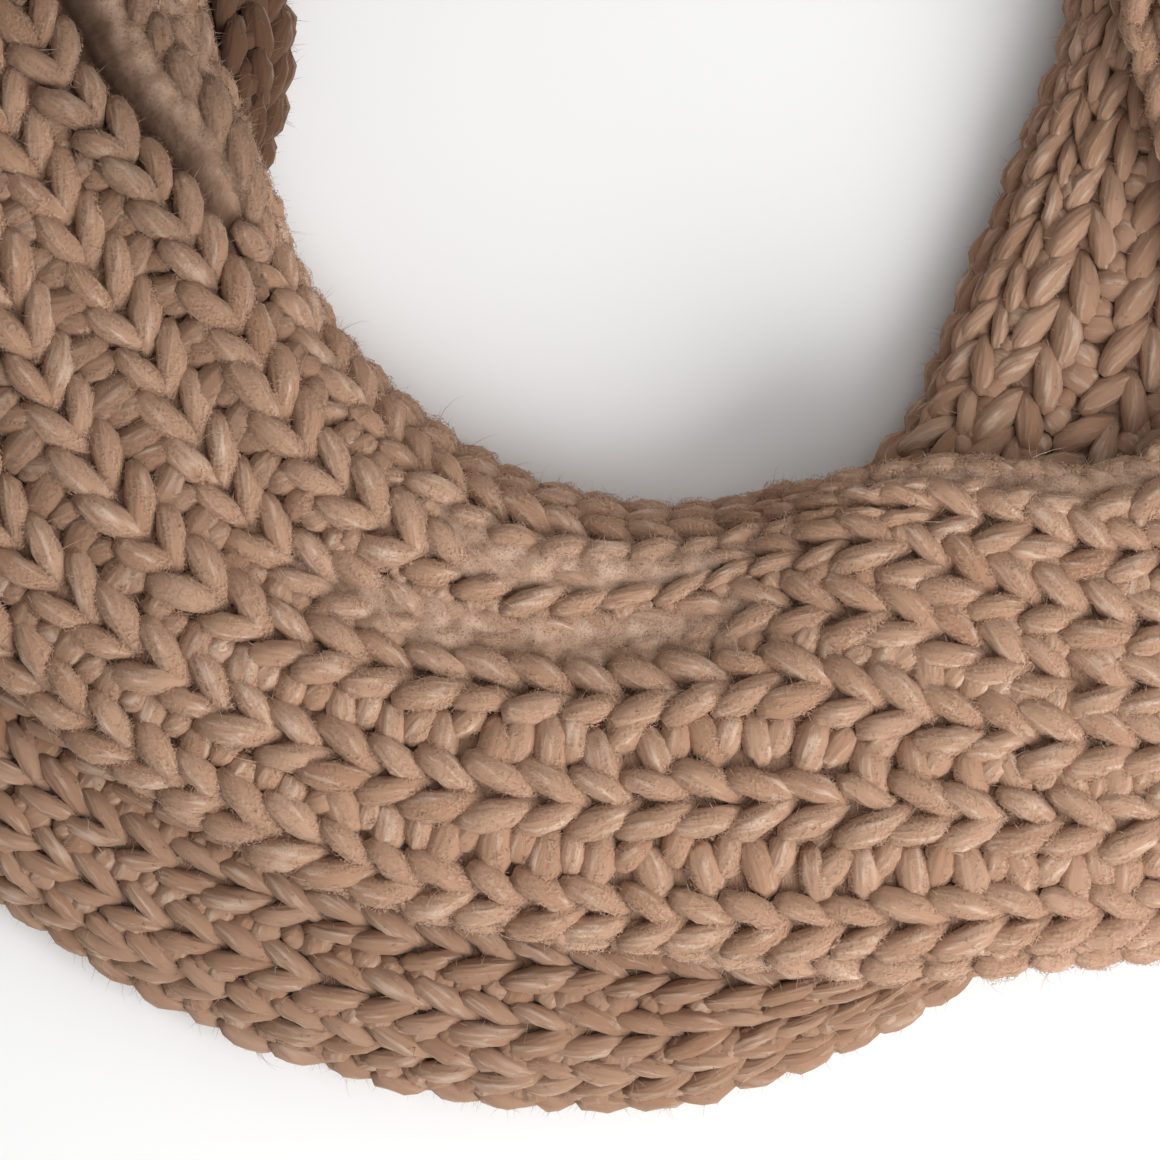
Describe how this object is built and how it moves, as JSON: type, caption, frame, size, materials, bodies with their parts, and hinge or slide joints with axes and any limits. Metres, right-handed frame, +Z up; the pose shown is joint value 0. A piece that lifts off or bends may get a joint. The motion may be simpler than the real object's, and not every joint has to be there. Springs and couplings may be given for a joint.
{
  "type": "infinity scarf, chunky ribbed knit, laid flat",
  "caption": "Loop scarf of chunky ribbed knit, wound twice round a neck opening and laid flat, its folded band rounded and overlapping itself.",
  "frame": {"origin": "on the surface that the scarf lies on, under the middle of its bounding box, inside the neck opening", "axes": "+Z up from the surface; -Y towards the front of the scarf, where its lower edge hangs lowest when it is worn; +X to the right seen from above"},
  "size_m": [0.4316, 0.438, 0.0461],
  "materials": {
    "knit": "soft brushed chunky wool knit, camel tan with paler streaks in the yarn"
  },
  "bodies": {
    "root": {"front_wrap": "knit", "right_wrap": "knit", "back_outer_wrap": "knit", "lower_wrap": "knit", "right_strap": "knit", "back_inner_wrap": "knit", "left_under_fold": "knit"}
  },
  "joints": []
}
